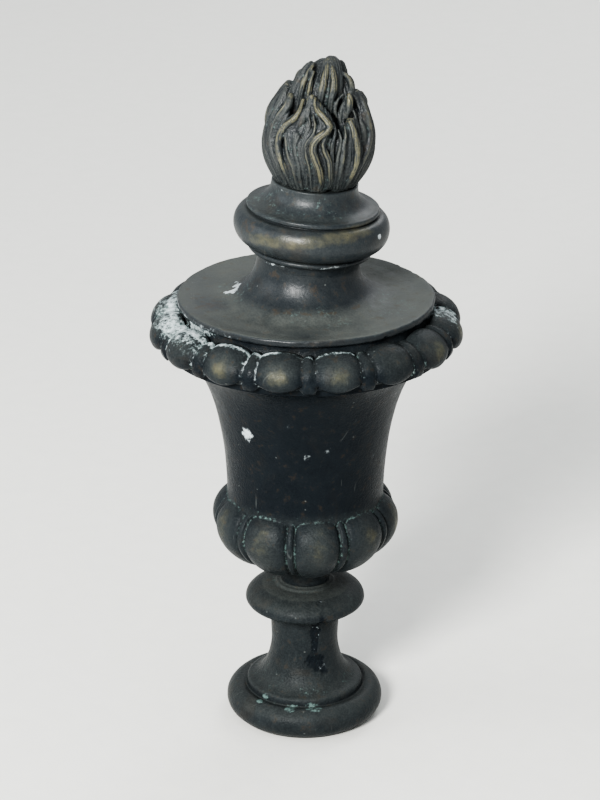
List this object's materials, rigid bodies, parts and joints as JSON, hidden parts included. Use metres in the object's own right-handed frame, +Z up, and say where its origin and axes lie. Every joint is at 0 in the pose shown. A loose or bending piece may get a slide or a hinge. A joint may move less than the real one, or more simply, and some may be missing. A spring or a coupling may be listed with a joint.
{
  "type": "urn gate finial",
  "caption": "Cast bronze urn finial for a gate pier: round foot, knop, gadrooned bowl and rim, plate, ring moulding and a carved flame.",
  "frame": {"origin": "middle of the foot's underside", "axes": "+Z up along the urn's axis, -Y towards the viewer, and the bent neck leans towards +X"},
  "size_m": [0.1934, 0.1934, 0.4429],
  "materials": {
    "dark_bronze": "dark blue-black patina, satin",
    "weathered_bronze": "matt grey-olive patina",
    "rubbed_bronze": "dark patina rubbed to olive gold on the ridges"
  },
  "bodies": {
    "root": {"foot": "dark_bronze", "urn": "dark_bronze", "cover": "weathered_bronze", "flame": "rubbed_bronze"}
  },
  "joints": []
}
